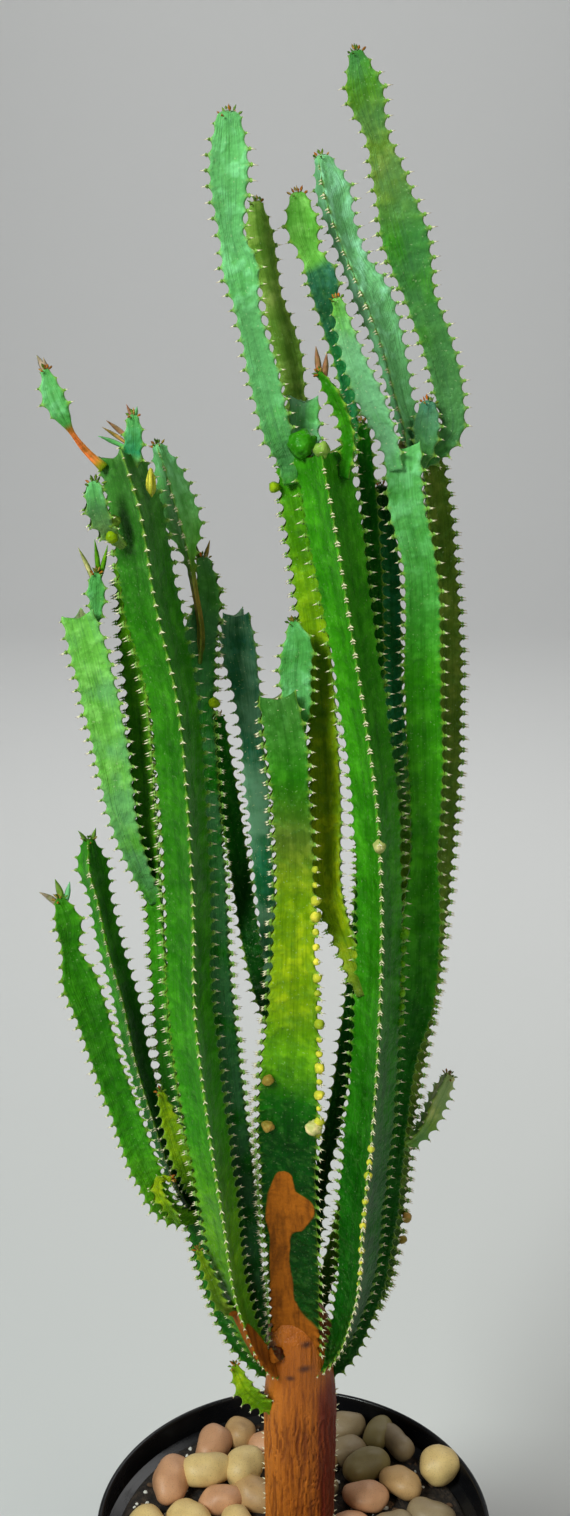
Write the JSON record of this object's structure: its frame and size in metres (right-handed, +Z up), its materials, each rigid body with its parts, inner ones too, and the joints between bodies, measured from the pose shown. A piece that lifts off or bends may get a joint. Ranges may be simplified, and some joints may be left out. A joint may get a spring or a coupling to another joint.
{
  "type": "potted african milk tree",
  "caption": "Potted African milk tree: ribbed, spiny upright green columns branching from a woody trunk, in a round black pot of soil and smooth pebbles.",
  "frame": {"origin": "the middle of the pot's flat base, on the surface that it stands on", "axes": "+Z up, +X to the viewer's right, -Y towards the viewer of the picture, which is the plant's front"},
  "size_m": [0.244, 0.232, 1.0157],
  "materials": {
    "black_plastic": "gloss",
    "soil": "matte",
    "pebble": "satin",
    "bark": "matte",
    "bright_green": "satin",
    "yellow_green": "satin",
    "deep_green": "satin",
    "olive_green": "satin"
  },
  "bodies": {
    "root": {"pot": "black_plastic", "soil": "soil", "pebbles": "pebble", "trunk": "bark", "centre_column": "yellow_green", "front_right_column": "bright_green", "right_column": "bright_green", "back_right_column": "olive_green", "middle_right_stem": "deep_green", "left_column": "yellow_green", "outer_left_column": "bright_green", "back_left_column": "deep_green", "basal_shoot": "yellow_green"}
  },
  "joints": []
}
